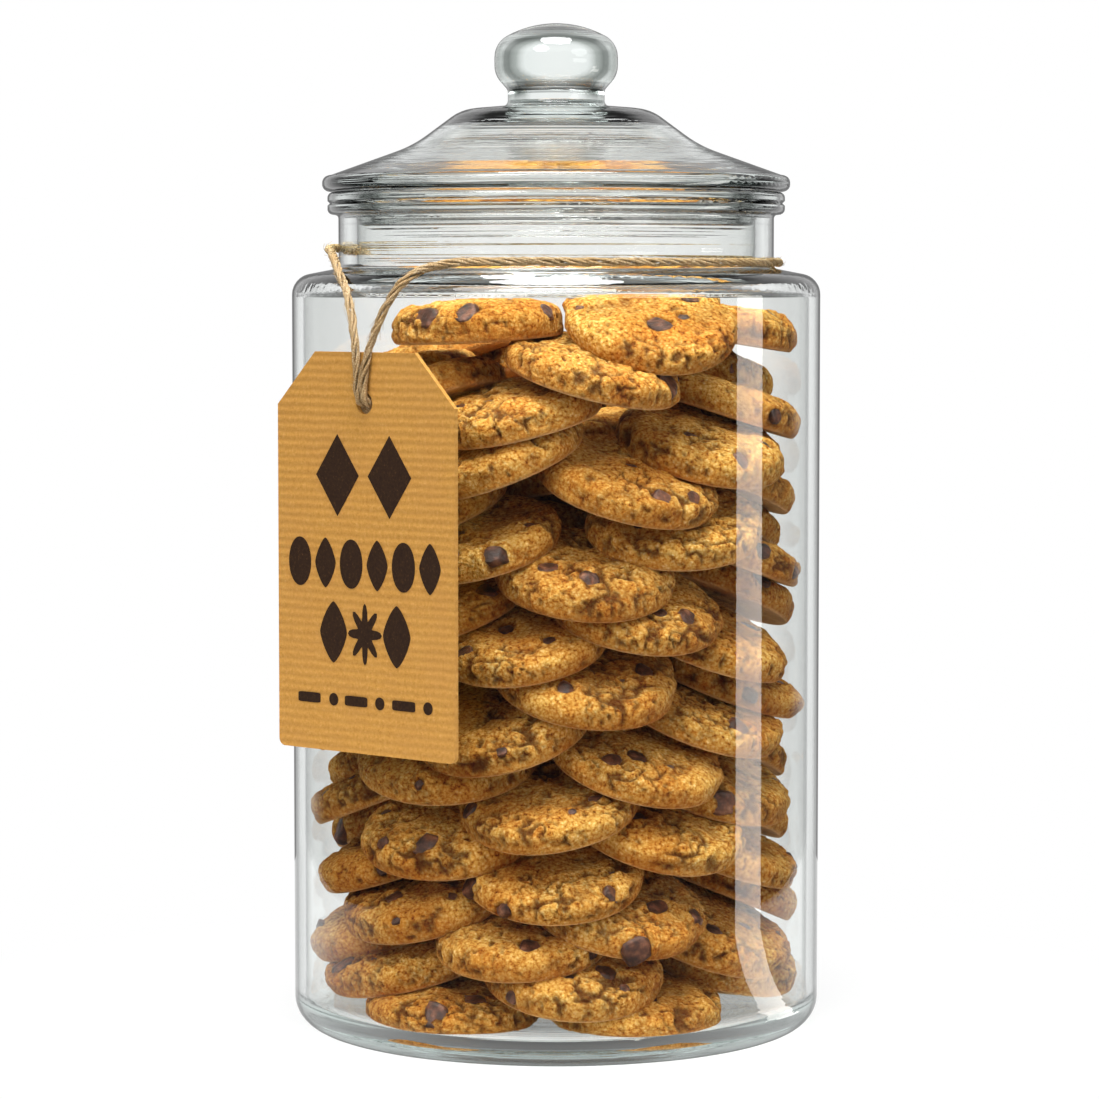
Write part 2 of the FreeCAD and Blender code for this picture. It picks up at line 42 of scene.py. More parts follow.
scene = bpy.context.scene
scene.view_settings.view_transform = "Standard"


cameraSizes = {"lens": 128, "sensor": 36, "place": (-0.0022, -1.30, 0.248), "drop": 3.94}

cameraData = bpy.data.cameras.new("camera")
cameraData.lens = cameraSizes["lens"]
cameraData.sensor_width = cameraSizes["sensor"]
camera = bpy.data.objects.new("camera", cameraData)
camera.location = cameraSizes["place"]
camera.rotation_euler = (math.radians(90 - cameraSizes["drop"]), 0, 0)
scene.collection.objects.link(camera)
scene.camera = camera


def sRGB(code):  # "#rrggbb" to linear light
    parts = [int(code[at:at + 2], 16) / 255 for at in (1, 3, 5)]
    return tuple(p / 12.92 if p <= 0.04045 else ((p + 0.055) / 1.055) ** 2.4 for p in parts)


def newMaterial(name):
    material = bpy.data.materials.new(name)
    material.use_nodes = True
    material.node_tree.nodes.clear()
    return material


def feed(material, socket, value):  # links a socket, or sets a number or a colour
    if isinstance(value, bpy.types.NodeSocket):
        material.node_tree.links.new(value, socket)
    elif isinstance(value, tuple) and socket.type == "RGBA":
        socket.default_value = (*value, 1)
    else:
        socket.default_value = value


def addNode(material, kind, **values):  # lower case sets a property, a capital feeds a socket
    node = material.node_tree.nodes.new("ShaderNode" + kind)
    for key, value in values.items():
        if key.islower():
            setattr(node, key, value)
        else:
            feed(material, node.inputs[key.replace("_", " ")], value)
    return node


def byNumber(material, kind, sockets, **values):  # for nodes whose sockets share a name
    node = addNode(material, kind, **values)
    for number, value in sockets.items():
        feed(material, node.inputs[number], value)
    return node


def ramp(material, factor, *stops):  # each stop a place, and a "#rrggbb" or a linear grey level
    node = addNode(material, "ValToRGB", Fac=factor)
    elements = node.color_ramp.elements
    while len(elements) < len(stops):
        elements.new(0.5)
    for element, (place, colour) in zip(elements, stops):
        element.position = place
        element.color = (*(sRGB(colour) if isinstance(colour, str) else (colour,) * 3), 1)
    return node.outputs["Color"]


def layered(material, base, code, factor, strength):  # a colour over base, by factor * strength
    much = byNumber(material, "Math", {0: factor, 1: strength}, operation="MULTIPLY").outputs[0]
    mix = byNumber(material, "Mix", {0: much, 6: base, 7: sRGB(code)}, data_type="RGBA")
    return mix.outputs[2]


def finishMaterial(material, surface, volume=None):
    output = addNode(material, "OutputMaterial", Surface=surface)
    if volume:
        feed(material, output.inputs["Volume"], volume)
    return material


def dress(thing, material):  # the thing wears this material alone
    thing.data.materials.clear()
    thing.data.materials.append(material)


def addMesh(name, points, faces, smooth=True):
    mesh = bpy.data.meshes.new(name)
    mesh.from_pydata(points.tolist(), [], faces if isinstance(faces, list) else faces.tolist())
    mesh.update()
    if smooth:
        mesh.shade_smooth()
    else:
        mesh.shade_flat()
    thing = bpy.data.objects.new(name, mesh)
    scene.collection.objects.link(thing)
    return thing


def addColour(thing, name, values):  # one colour for each vertex
    layer = thing.data.color_attributes.new(name, "FLOAT_COLOR", "POINT")
    colours = np.ones((len(values), 4))
    colours[:, :3] = values
    layer.data.foreach_set("color", colours.ravel())


noiseSizes = {"seedStep": 17.31, "factors": (73856093, 19349663, 83492791), "stir": 1274126177}


def noise(points, size, seed):
    # Smooth noise from -1 to 1: the eight corner values of each cell, eased from one to the next.
    # A corner's value is a hash of its three whole numbers.
    scaled = points / size + seed * noiseSizes["seedStep"]
    cell = np.floor(scaled).astype(np.int64)
    ease = scaled - cell
    ease = ease * ease * (3 - 2 * ease)
    total = np.zeros(len(points))
    for corner in itertools.product((0, 1), repeat=3):
        first, second, third = ((cell + corner).astype(np.uint32)
                                * np.array(noiseSizes["factors"], dtype=np.uint32)).T
        value = first ^ second ^ third
        value = (value ^ (value >> np.uint32(13))) * np.uint32(noiseSizes["stir"])
        value ^= value >> np.uint32(16)
        share = np.prod(np.where(corner, ease, 1 - ease), axis=1)
        total += share * (value.astype(float) / 2 ** 31 - 1)
    return total


def grid(rings, around):  # quads of closed rings, and triangles to a pole at each end
    ring = np.arange(rings - 1)[:, None] * around
    step = np.arange(around)[None, :]
    following = (step + 1) % around
    quads = np.stack([ring + step, ring + following, ring + around + following,
                      ring + around + step], axis=-1).reshape(-1, 4)
    first, last = rings * around, rings * around + 1
    step, following = step[0], following[0]
    top = np.stack([np.full(around, first), following, step], axis=-1)
    end = (rings - 1) * around
    bottom = np.stack([np.full(around, last), end + step, end + following], axis=-1)
    return quads, np.concatenate([top, bottom])


def joinParts(parts):  # arrays of points, quads and triangles into one set
    start = 0
    points, faces = [], []
    for spots, quads, caps in parts:
        points.append(spots)
        faces += (quads + start).tolist() + (caps + start).tolist()
        start += len(spots)
    return np.concatenate(points), faces


def readMesh(mesh):  # the places of its vertices, and the three vertices of each triangle
    mesh.calc_loop_triangles()
    places = np.empty(len(mesh.vertices) * 3)
    mesh.vertices.foreach_get("co", places)
    corners = np.empty(len(mesh.loop_triangles) * 3, dtype=np.int64)
    mesh.loop_triangles.foreach_get("vertices", corners)
    return places.reshape(-1, 3), corners.reshape(-1, 3)


def facets(triangles):  # twice the area of each triangle, and its normal
    cross = np.cross(triangles[:, 1] - triangles[:, 0], triangles[:, 2] - triangles[:, 0])
    area = np.linalg.norm(cross, axis=1)
    return area, cross / np.maximum(area, 1e-15)[:, None]


# The twine's line: azimuth in degrees from the front towards +X, distance from the axis and
# height.
twineRoute = (
    (-40.8, 0.09212, 0.2095), (-40.84, 0.0954, 0.2095), (-40.8, 0.0956, 0.2155),
    (-41.2, 0.0956, 0.2245), (-43.2, 0.0935, 0.234), (-47, 0.0902, 0.244), (-55, 0.0854, 0.252),
    (-69, 0.078, 0.2572), (-88, 0.076, 0.2588), (-118, 0.0769, 0.2582), (-150, 0.0769, 0.257),
    (-183, 0.0769, 0.2558), (-216, 0.0769, 0.2548), (-249, 0.0769, 0.2542), (-282, 0.0769, 0.2538),
    (-315, 0.0769, 0.2537), (-348, 0.0769, 0.2537), (-377, 0.0767, 0.254), (-387.5, 0.0816, 0.2532),
    (-392.6, 0.0883, 0.2488), (-395.7, 0.0916, 0.2402), (-397.6, 0.0938, 0.231),
    (-398.8, 0.0956, 0.2225), (-399.2, 0.0956, 0.2155), (-399.3, 0.0955, 0.2095),
    (-399.2, 0.09221, 0.2095))
# The wobbles are a share, a size in metres and a seed. A hair's length is in steps of the line.
twineSizes = {"diameter": 0.0024, "strands": 5, "strand": 0.00052, "offset": 0.00088,
              "pitch": 0.021, "step": 0.00055, "around": 6, "turnWobble": (0.12, 0.006, 70),
              "offsetWobble": (0.22, 0.005, 40), "strandWobble": (0.25, 0.004, 50),
              "hairs": 420, "hair": 0.00007, "hairSteps": (6, 20), "hairTurn": 0.4,
              "hairFrom": 0.0012, "hairLift": (0.0001, 0.0013)}

curve = bpy.data.curves.new("twine_line", "CURVE")
curve.dimensions = "3D"
curve.resolution_u = 16
line = curve.splines.new("NURBS")
line.points.add(len(twineRoute) - 1)
for point, (azimuth, reach, up) in zip(line.points, twineRoute):
    turn = math.radians(azimuth)
    point.co = (reach * math.sin(turn), -reach * math.cos(turn), up, 1)
line.order_u = 3
line.use_endpoint_u = True
lineHolder = bpy.data.objects.new("twine_line", curve)
scene.collection.objects.link(lineHolder)
bpy.context.view_layer.update()
lineMesh = bpy.data.meshes.new_from_object(lineHolder)
path = np.empty(len(lineMesh.vertices) * 3)
lineMesh.vertices.foreach_get("co", path)
path = path.reshape(-1, 3)
bpy.data.objects.remove(lineHolder)
steps = np.concatenate([[0], np.cumsum(np.linalg.norm(np.diff(path, axis=0), axis=1))])
twineLength = steps[-1]
samples = np.linspace(0, twineLength, int(twineLength / twineSizes["step"]))
centre = np.stack([np.interp(samples, steps, path[:, axis]) for axis in range(3)], axis=1)


def sidesOf(line):
    # Two directions across a line at each point, each turned no further than the line itself turns.
    ahead = np.gradient(line, axis=0)
    ahead /= np.linalg.norm(ahead, axis=1)[:, None]
    side = np.empty_like(line)
    side[0] = np.cross(ahead[0], (0.3, 0.5, 0.81))  # any way that the line doesn't point
    for index in range(1, len(line)):
        side[index] = side[index - 1] - ahead[index] * (side[index - 1] @ ahead[index])
    side /= np.linalg.norm(side, axis=1)[:, None]
    return side, np.cross(ahead, side)


def tubeAlong(line, radius, around):
    # Rings round a line: centre + radius * (side * cosine + other side * sine), with closed ends.
    side, other = sidesOf(line)
    turn = np.arange(around) / around * 2 * np.pi
    rings = (line[:, None, :] + radius[:, None, None]
             * (side[:, None, :] * np.cos(turn)[:, None] + other[:, None, :] * np.sin(turn)[:, None]))
    points = np.concatenate([rings.reshape(-1, 3), line[:1], line[-1:]])
    quads, caps = grid(len(line), around)
    return points, quads[:, ::-1], caps[:, ::-1]


across, beyond = sidesOf(centre)


def besideCord(places, turn, away):  # a line wound about the cord, at the numbered places along it
    return centre[places] + (across[places] * np.cos(turn)[:, None]
                             + beyond[places] * np.sin(turn)[:, None]) * away[:, None]


def wobble(kind, strand):
    share, size, seed = twineSizes[kind]
    return share * noise(centre, size, seed + strand)


strands = []
everyPlace = np.arange(len(centre))
wound = samples / twineSizes["pitch"] * 2 * np.pi
for strand in range(twineSizes["strands"]):
    turn = wound + (strand / twineSizes["strands"] + wobble("turnWobble", strand)) * 2 * np.pi
    away = twineSizes["offset"] * (1 + wobble("offsetWobble", strand))
    radius = twineSizes["strand"] * (1 + wobble("strandWobble", strand))
    strands.append(tubeAlong(besideCord(everyPlace, turn, away), radius, twineSizes["around"]))
chance = np.random.default_rng(5)
fewest, most = twineSizes["hairSteps"]
for _ in range(twineSizes["hairs"]):  # loose hairs that stand off the cord in shallow arcs
    start = chance.integers(0, len(centre) - most)
    places = np.arange(start, min(start + chance.integers(fewest, most), len(centre)))
    along = np.linspace(0, 1, len(places))
    turn = (wound[places] * twineSizes["hairTurn"] + chance.uniform(0, 2 * np.pi)
            + along * chance.uniform(-1, 1))
    away = twineSizes["hairFrom"] + along ** 1.5 * chance.uniform(*twineSizes["hairLift"])
    strands.append(tubeAlong(besideCord(places, turn, away),
                             np.full(len(places), twineSizes["hair"]), 3))
points, faces = joinParts(strands)
twine = addMesh("jute_twine", points, faces)


def makeJute():
    # Jute: dull plant fibres, straw to brown from place to place, which make the cord look rough.
    material = newMaterial("jute")
    place = addNode(material, "TexCoord").outputs["Object"]
    fibre = addNode(material, "TexNoise", Vector=place, Scale=2400.0, Detail=3.0, Roughness=0.7)  # 0.4 mm
    patch = addNode(material, "TexNoise", Vector=place, Scale=70.0, Detail=1.0)  # 14 mm
    tone = ramp(material, fibre.outputs["Fac"], (0.34, "#6A4E2C"), (0.46, "#A88960"),
                (0.57, "#CBB38C"), (0.70, "#EADDC2"))
    low = ramp(material, patch.outputs["Fac"], (0.42, 1.0), (0.60, 0.0))
    tone = layered(material, tone, "#A07C48", low, 0.45)
    rough = addNode(material, "Bump", Height=fibre.outputs["Fac"], Strength=0.8, Distance=0.0005)
    body = addNode(material, "BsdfPrincipled", Base_Color=tone, Roughness=0.9,
                   Specular_IOR_Level=0.2, Normal=rough.outputs[0])
    return finishMaterial(material, body.outputs[0])


jute = makeJute()
dress(twine, jute)
dress(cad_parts["twine_knot"], jute)
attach(twine, "root")
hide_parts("twine")
print("stage: twine", round(twineLength * 1000, 1), "mm")

# Each lamp's place, its size across in metres and its power in watts.
lightSizes = {"key": ((-0.75, -1.25, 1.15), 0.9, 13.5), "fill": ((1.0, -1.0, 0.7), 0.8, 4),
              "top": ((0.0, -0.35, 1.35), 0.8, 28)}

for name, (place, size, power) in lightSizes.items():
    lamp = bpy.data.lights.new(name, "AREA")
    lamp.shape = "DISK"
    lamp.size = size
    lamp.energy = power
    holder = bpy.data.objects.new(name, lamp)
    holder.location = place
    aim = np.array([0, 0, 0.15]) - np.array(place)
    holder.rotation_euler = (math.atan2(math.hypot(aim[0], aim[1]), -aim[2]), 0,
                             math.atan2(aim[1], aim[0]) - math.pi / 2)
    scene.collection.objects.link(holder)


def mixed(material, first, second, factor):  # two shaders, the second one by the factor
    return byNumber(material, "MixShader", {0: factor, 1: first, 2: second}).outputs[0]


def larger(material, first, second):
    return byNumber(material, "Math", {0: first, 1: second}, operation="MAXIMUM").outputs[0]


def bounced(material, kind):  # 1 once light has met a surface of that kind on its way to the eye
    depth = addNode(material, "LightPath").outputs[kind + " Depth"]
    return byNumber(material, "Math", {0: depth, 1: 0.5}, operation="GREATER_THAN").outputs[0]


# The world is white to the eye and an even glow on matt things. Through glass it is dark below,
# white near the horizon, dark higher up and white overhead. In reflections it is dark, with a
# bright band 20 to 40 degrees up, and behind a white ring round a dimmer middle, as in a studio
# with a lit back wall, dark cards and a large soft box. Each pair is a place and a level. Places
# go from straight down to straight up, and those of "behind" from sideways to straight back.
worldLevels = {"glow": 0.13,
               "through": ((0.0, 0.10), (0.30, 0.12), (0.40, 1.0), (0.62, 1.0), (0.70, 0.20),
                           (0.84, 0.12), (0.90, 0.95), (1.0, 1.0)),
               "mirrored": ((0.0, 0.015), (0.60, 0.03), (0.68, 0.95), (0.80, 1.0), (0.86, 0.2),
                            (1.0, 0.15)),
               "behind": ((0.55, 0.0), (0.86, 0.95), (0.93, 0.95), (0.965, 0.28), (1.0, 0.28))}
world = bpy.data.worlds.new("world")
scene.world = world
world.use_nodes = True
world.node_tree.nodes.clear()
way = addNode(world, "SeparateXYZ", Vector=addNode(world, "TexCoord").outputs["Generated"])
rise = addNode(world, "MapRange", Value=way.outputs["Z"], From_Min=-1.0).outputs["Result"]
behind = ramp(world, way.outputs["Y"], *worldLevels["behind"])
plain = addNode(world, "Background", Color=(1.0, 1.0, 1.0), Strength=1.0).outputs[0]
light = plain
for levels, kind in (("through", "Transmission"), ("mirrored", "Glossy")):
    tone = ramp(world, rise, *worldLevels[levels])
    if kind == "Glossy":
        tone = larger(world, tone, behind)
    part = addNode(world, "Background", Color=tone, Strength=1.0).outputs[0]
    light = mixed(world, light, part, bounced(world, kind))
glow = addNode(world, "Background", Color=(1.0, 1.0, 1.0), Strength=worldLevels["glow"]).outputs[0]
light = mixed(world, light, glow, bounced(world, "Diffuse"))
eye = addNode(world, "LightPath").outputs["Is Camera Ray"]
light = mixed(world, light, plain, eye)
world.node_tree.links.new(light, addNode(world, "OutputWorld").inputs["Surface"])

# White paper: it keeps the jar's soft shadow close by and fades to plain white further out.
# In reflections it is dark in front of the jar and brighter behind it.
floorSizes = {"half": 0.36, "paper": 0.92, "shadowTo": 0.10, "whiteFrom": 0.24, "nearShare": 0.82,
              "frontDepth": -0.10, "backDepth": 0.06, "frontLevel": 0.05, "backLevel": 0.9}
floorMaterial = newMaterial("floor_white")
matt = addNode(floorMaterial, "BsdfDiffuse", Color=(floorSizes["paper"],) * 3).outputs[0]
shine = addNode(floorMaterial, "Emission", Color=(1.0, 1.0, 1.0), Strength=1.0).outputs[0]
place = addNode(floorMaterial, "TexCoord").outputs["Object"]
away = addNode(floorMaterial, "VectorMath", operation="LENGTH", Vector=place).outputs["Value"]
fade = addNode(floorMaterial, "MapRange", Value=away, From_Min=floorSizes["shadowTo"],
               From_Max=floorSizes["whiteFrom"], To_Min=floorSizes["nearShare"],
               interpolation_type="SMOOTHSTEP").outputs["Result"]
shown = mixed(floorMaterial, matt, shine, fade)
depth = addNode(floorMaterial, "SeparateXYZ", Vector=place).outputs["Y"]
level = addNode(floorMaterial, "MapRange", Value=depth, From_Min=floorSizes["frontDepth"],
                From_Max=floorSizes["backDepth"], To_Min=floorSizes["frontLevel"],
                To_Max=floorSizes["backLevel"]).outputs["Result"]
glare = addNode(floorMaterial, "Emission", Color=(1.0, 1.0, 1.0), Strength=level).outputs[0]
shown = mixed(floorMaterial, shown, glare, bounced(floorMaterial, "Glossy"))
finishMaterial(floorMaterial, mixed(floorMaterial, shown, matt, bounced(floorMaterial, "Diffuse")))
floor = addMesh("floor", np.array([(-1, -1, 0), (1, -1, 0), (1, 1, 0), (-1, 1, 0)]) * floorSizes["half"],
                [(0, 1, 2, 3)], smooth=False)
dress(floor, floorMaterial)

# A soft box at the right, seen only as a reflection in the glass: a strip that runs out along the
# floor and then stands up. Its two sides are azimuths in degrees, from +X.
softBox = {"away": 0.30, "near": 0.11, "from": -17.6, "to": -3.2, "height": 0.246, "lift": 0.0005,
           "colour": (1.0, 0.97, 0.92), "strength": 5.5}
stripMaterial = newMaterial("soft_box")
stripLight = addNode(stripMaterial, "Emission", Color=softBox["colour"],
                     Strength=softBox["strength"])
finishMaterial(stripMaterial, stripLight.outputs[0])
sides = [math.radians(softBox[side]) for side in ("from", "to")]
stripCorners = [(softBox[reach] * math.cos(turn), softBox[reach] * math.sin(turn), softBox[up])
                for reach, up in (("near", "lift"), ("away", "lift"), ("away", "height"))
                for turn in sides]
strip = addMesh("soft_box", np.array(stripCorners), [(0, 1, 3, 2), (2, 3, 5, 4)], smooth=False)
dress(strip, stripMaterial)
for ray in ("camera", "diffuse", "transmission", "shadow"):
    setattr(strip, "visible_" + ray, False)
print("stage: camera, lights, floor")


# Painted shade on the glass: its colour darkens as it turns edge on, standing in for the dark
# surroundings that its edges refract and reflect, and the lid and knob get painted dark and light
# bands. The inside of a wall darkens in a thin line, the outside in a band. Each painted shade has
# its stops, and takes over between two heights or distances from the axis.
insideStops = ((0.0, "#FFFFFE"), (0.77, "#F8FAF9"), (0.84, "#B4B9B6"), (0.88, "#262A29"),
               (1.0, "#0C0F0E"))
outsideStops = ((0.0, "#FFFFFE"), (0.70, "#F8FAF9"), (0.79, "#C4C8C6"), (0.84, "#3A3F3D"),
                (0.95, "#2E3331"), (1.0, "#4A4F4D"))
lidStops = ((0.0, "#FFFFFE"), (0.56, "#F4F6F5"), (0.68, "#E2E5E3"), (0.78, "#A8ADAA"),
            (0.86, "#D8DCDA"), (0.93, "#8C918E"), (1.0, "#2A2F2D"))
knobStops = ((0.0, "#FFFFFE"), (0.14, "#F6F8F7"), (0.24, "#8A8F8B"), (0.36, "#4E524F"),
             (0.46, "#6C706D"), (0.56, "#EDF0EE"), (0.84, "#D2D6D3"), (1.0, "#5A5F5C"))
glassSizes = {"paintedShades": ((insideStops, "up", 0, 0), (outsideStops, "away", 0.0685, 0.0695),
                        (insideStops, "up", 0.2535, 0.2505), (outsideStops, "away", 0.0852, 0.0858),
                        (lidStops, "up", 0.268, 0.271), (knobStops, "up", 0.3055, 0.3090)),
              "mouldBelow": (0.008, 0.016), "mouldAbove": (0.249, 0.254), "mouldGrain": 330,  # 3 mm
              "mouldDepth": 0.0006, "mouldStrength": 0.35, "bend": 1.5, "shadow": "#F4F8F6",
              "green": (0.30, 0.70, 0.58), "density": 3.0}


def makeGlass():
    # Pressed soda-lime glass: clear, with painted shade where it is seen edge on and painted dark and
    # light bands on the lid and knob, for the dark surroundings its edges refract and reflect; faintly
    # green where it is thick, with fine rings left by the mould in the base, the neck and the lid.
    material = newMaterial("clear_glass")
    path = addNode(material, "LightPath")
    facing = addNode(material, "LayerWeight", Blend=0.5).outputs["Facing"]
    place = addNode(material, "TexCoord").outputs["Object"]
    axes = addNode(material, "SeparateXYZ", Vector=place)
    level = addNode(material, "CombineXYZ", X=axes.outputs["X"], Y=axes.outputs["Y"])
    across = addNode(material, "VectorMath", operation="LENGTH",
                     Vector=level.outputs[0]).outputs["Value"]
    reach = {"up": axes.outputs["Z"], "away": across}
    paintedShade = None
    for stops, along, start, end in glassSizes["paintedShades"]:
        tone = ramp(material, facing, *stops)
        if paintedShade:
            share = addNode(material, "MapRange", Value=reach[along], From_Min=start,
                            From_Max=end).outputs["Result"]
            blend = byNumber(material, "Mix", {0: share, 6: paintedShade, 7: tone}, data_type="RGBA")
            tone = blend.outputs[2]
        paintedShade = tone
    section = addNode(material, "CombineXYZ", X=across, Z=axes.outputs["Z"]).outputs[0]
    mould = addNode(material, "TexNoise", Vector=section, Scale=glassSizes["mouldGrain"], Detail=2.0)
    foot, top = glassSizes["mouldBelow"], glassSizes["mouldAbove"]
    low = addNode(material, "MapRange", Value=axes.outputs["Z"], From_Min=foot[0], From_Max=foot[1],
                  To_Min=1.0, To_Max=0.0).outputs["Result"]
    high = addNode(material, "MapRange", Value=axes.outputs["Z"], From_Min=top[0],
                   From_Max=top[1]).outputs["Result"]
    height = byNumber(material, "Math", {0: mould.outputs["Fac"], 1: larger(material, low, high)},
                      operation="MULTIPLY").outputs[0]
    rings = addNode(material, "Bump", Height=height, Strength=glassSizes["mouldStrength"],
                    Distance=glassSizes["mouldDepth"])
    # The glass's colour is the painted edge shade: white face on, darker edge on.
    body = addNode(material, "BsdfPrincipled", Base_Color=paintedShade, Roughness=0.0,
                   IOR=glassSizes["bend"], Transmission_Weight=1.0, Normal=rings.outputs[0])
    clear = addNode(material, "BsdfTransparent", Color=sRGB(glassSizes["shadow"]))
    surface = mixed(material, body.outputs[0], clear.outputs[0], path.outputs["Is Shadow Ray"])
    dim = addNode(material, "VolumeAbsorption", Color=glassSizes["green"],
                  Density=glassSizes["density"])
    return finishMaterial(material, surface, dim.outputs[0])


glass = makeGlass()
for name in ("jar_glass", "lid_glass"):
    dress(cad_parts[name], glass)
print("stage: glass")


# Lengths in metres. A crack has the size of its winding, its width as a share of the noise and its
# depth; a lump has its size and its height.
cookieSizes = {"rings": (27, 9, 2), "around": 126, "coarseRings": (8, 4, 2), "coarseAround": 40,
               "crowding": 0.5, "directions": 48, "waves": 6, "radius": 0.0286, "edge": 0.0016,
               "waist": 0.0032, "domeInner": 4, "domeRim": 0.31, "swell": 1.08, "sag": 0.0009,
               "inner": 0.02, "cracks": ((0.0075, 0.085, 0.0013), (0.0040, 0.10, 0.0007)),
               "lumps": ((0.0110, 0.0010), (0.0052, 0.00055), (0.0026, 0.00040),
                         (0.0013, 0.00020)),
               "bareBelow": 0.0010, "bareOver": 0.002, "brokenPatch": 0.012, "hole": 0.0022,
               "holeDepth": 0.0008, "pitDepth": 0.0013, "lipHeight": 0.0007, "lowest": -0.0001,
               "rimFrom": 0.0008, "rimOver": 0.0052, "paleLine": 0.0006, "darkDip": 0.0011}
seedRange = 90  # seeds of the noises are drawn from 0 to this


def separateSolids(name):  # the corners and triangles of each solid of a CAD node
    places, corners = readMesh(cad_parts[name].data)
    keys, owner = np.unique(np.round(places * 1e6).astype(np.int64), axis=0, return_inverse=True)
    corners = owner.ravel()[corners]
    label = np.arange(len(keys))
    while True:  # every corner takes the lowest label that its triangle has, until none changes
        least = label.copy()
        lowest = label[corners].min(axis=1)
        for side in range(3):
            np.minimum.at(least, corners[:, side], lowest)
        least = least[least]
        if (least == label).all():
            break
        label = least
    spots = keys * 1e-6
    for solid in np.unique(label):
        yield spots[corners[label[corners[:, 0]] == solid]]


def measureCookie(triangles):
    # Its flat under side is its largest patch that faces down; out is the way from the jar's axis.
    # The outline is the furthest corner in each direction, smoothed to its first waves.
    area, facing = facets(triangles)
    largest = np.argmax(np.where(facing[:, 2] < 0, area, 0))
    flat = facing @ facing[largest] > 0.99995
    up = -facing[largest]
    middle = np.average(triangles[flat].mean(axis=1), axis=0, weights=area[flat])
    out = np.array([middle[0], middle[1], 0.0]) + (1e-4, 0, 0)  # also where it lies on the axis
    out -= up * (out @ up)
    out /= np.linalg.norm(out)
    side = np.cross(up, out)
    local = (triangles.reshape(-1, 3) - middle) @ np.stack([out, side, up], axis=1)
    reach = np.hypot(local[:, 0], local[:, 1])
    turn = np.arctan2(local[:, 1], local[:, 0])
    count = cookieSizes["directions"]
    slot = ((turn / (2 * np.pi) + 0.5) * count).astype(int) % count
    widest = np.zeros(count)
    np.maximum.at(widest, slot, reach)
    angles = (np.arange(count) + 0.5) / count * 2 * np.pi - np.pi
    waves = np.fft.rfft(widest)
    waves[cookieSizes["waves"]:] = 0
    smooth = np.fft.irfft(waves, count)
    return {"middle": middle, "axes": np.stack([out, side, up]), "angles": angles,
            "outline": smooth, "thickness": local[:, 2].max()}


def domeHeight(share, thickness):  # waist + (thickness - waist) * (1 - share ** inner) ** rim
    waist, inner, rim = (cookieSizes[key] for key in ("waist", "domeInner", "domeRim"))
    return waist + (thickness - waist) * (1 - share ** inner) ** rim


def sideOfCookie(thickness, counts):
    # Shares of the outline and heights, from the top's middle over the rim to the under side.
    # The top is a dome and the edge below it a quarter round.
    top, rim, under = counts
    sizes = cookieSizes
    share = np.sin(np.linspace(0.05, 0.5, top) * np.pi)
    rise = domeHeight(share, thickness)
    turn = np.linspace(0, 0.5, rim + 1)[1:] * np.pi
    edge = sizes["edge"] / sizes["radius"]
    share = np.concatenate([share, 1 - edge * (1 - np.cos(turn)),
                            (1 - edge) * np.linspace(1, 0.15, under + 1)[1:]])
    rise = np.concatenate([rise, sizes["waist"] * (1 - np.sin(turn)), np.zeros(under)])
    return share, rise


def cracks(points, size, width, seed):
    # Winding cracks: 1 where a noise over bent space passes through nought, 0 away from there.
    bent = points + 0.28 * size * np.stack([noise(points, 0.5 * size, seed + step)
                                            for step in (1, 2, 3)], axis=1)
    return np.exp(-(noise(bent, size, seed + 4) / width) ** 2)


